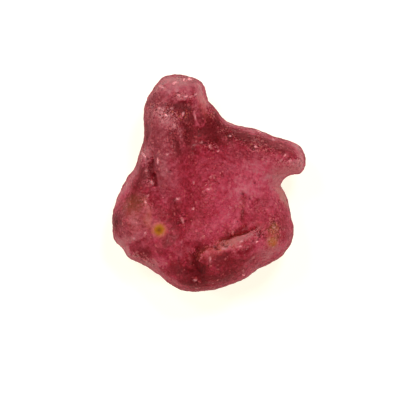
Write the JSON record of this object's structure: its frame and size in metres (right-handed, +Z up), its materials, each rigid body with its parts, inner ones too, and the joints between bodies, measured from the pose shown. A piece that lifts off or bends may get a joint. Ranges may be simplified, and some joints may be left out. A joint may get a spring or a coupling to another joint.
{
  "type": "rhodolite garnet crystal",
  "caption": "Rough, water-worn crystal of rhodolite garnet with a raised knob, a side arm, a dished upper side and a flat resting face, for a mineral display or as loose rough.",
  "frame": {"origin": "middle of the bounding box in X and Y, on the resting face", "axes": "+Z up, away from the resting face; +Y towards the knob, along the longest side; +X towards the arm"},
  "size_m": [0.0138, 0.0154, 0.0074],
  "materials": {
    "garnet": "waxy, frosted and finely pitted skin on clear purplish-red crystal, with small ochre stains"
  },
  "bodies": {
    "root": {"garnet_crystal": "garnet"}
  },
  "joints": []
}
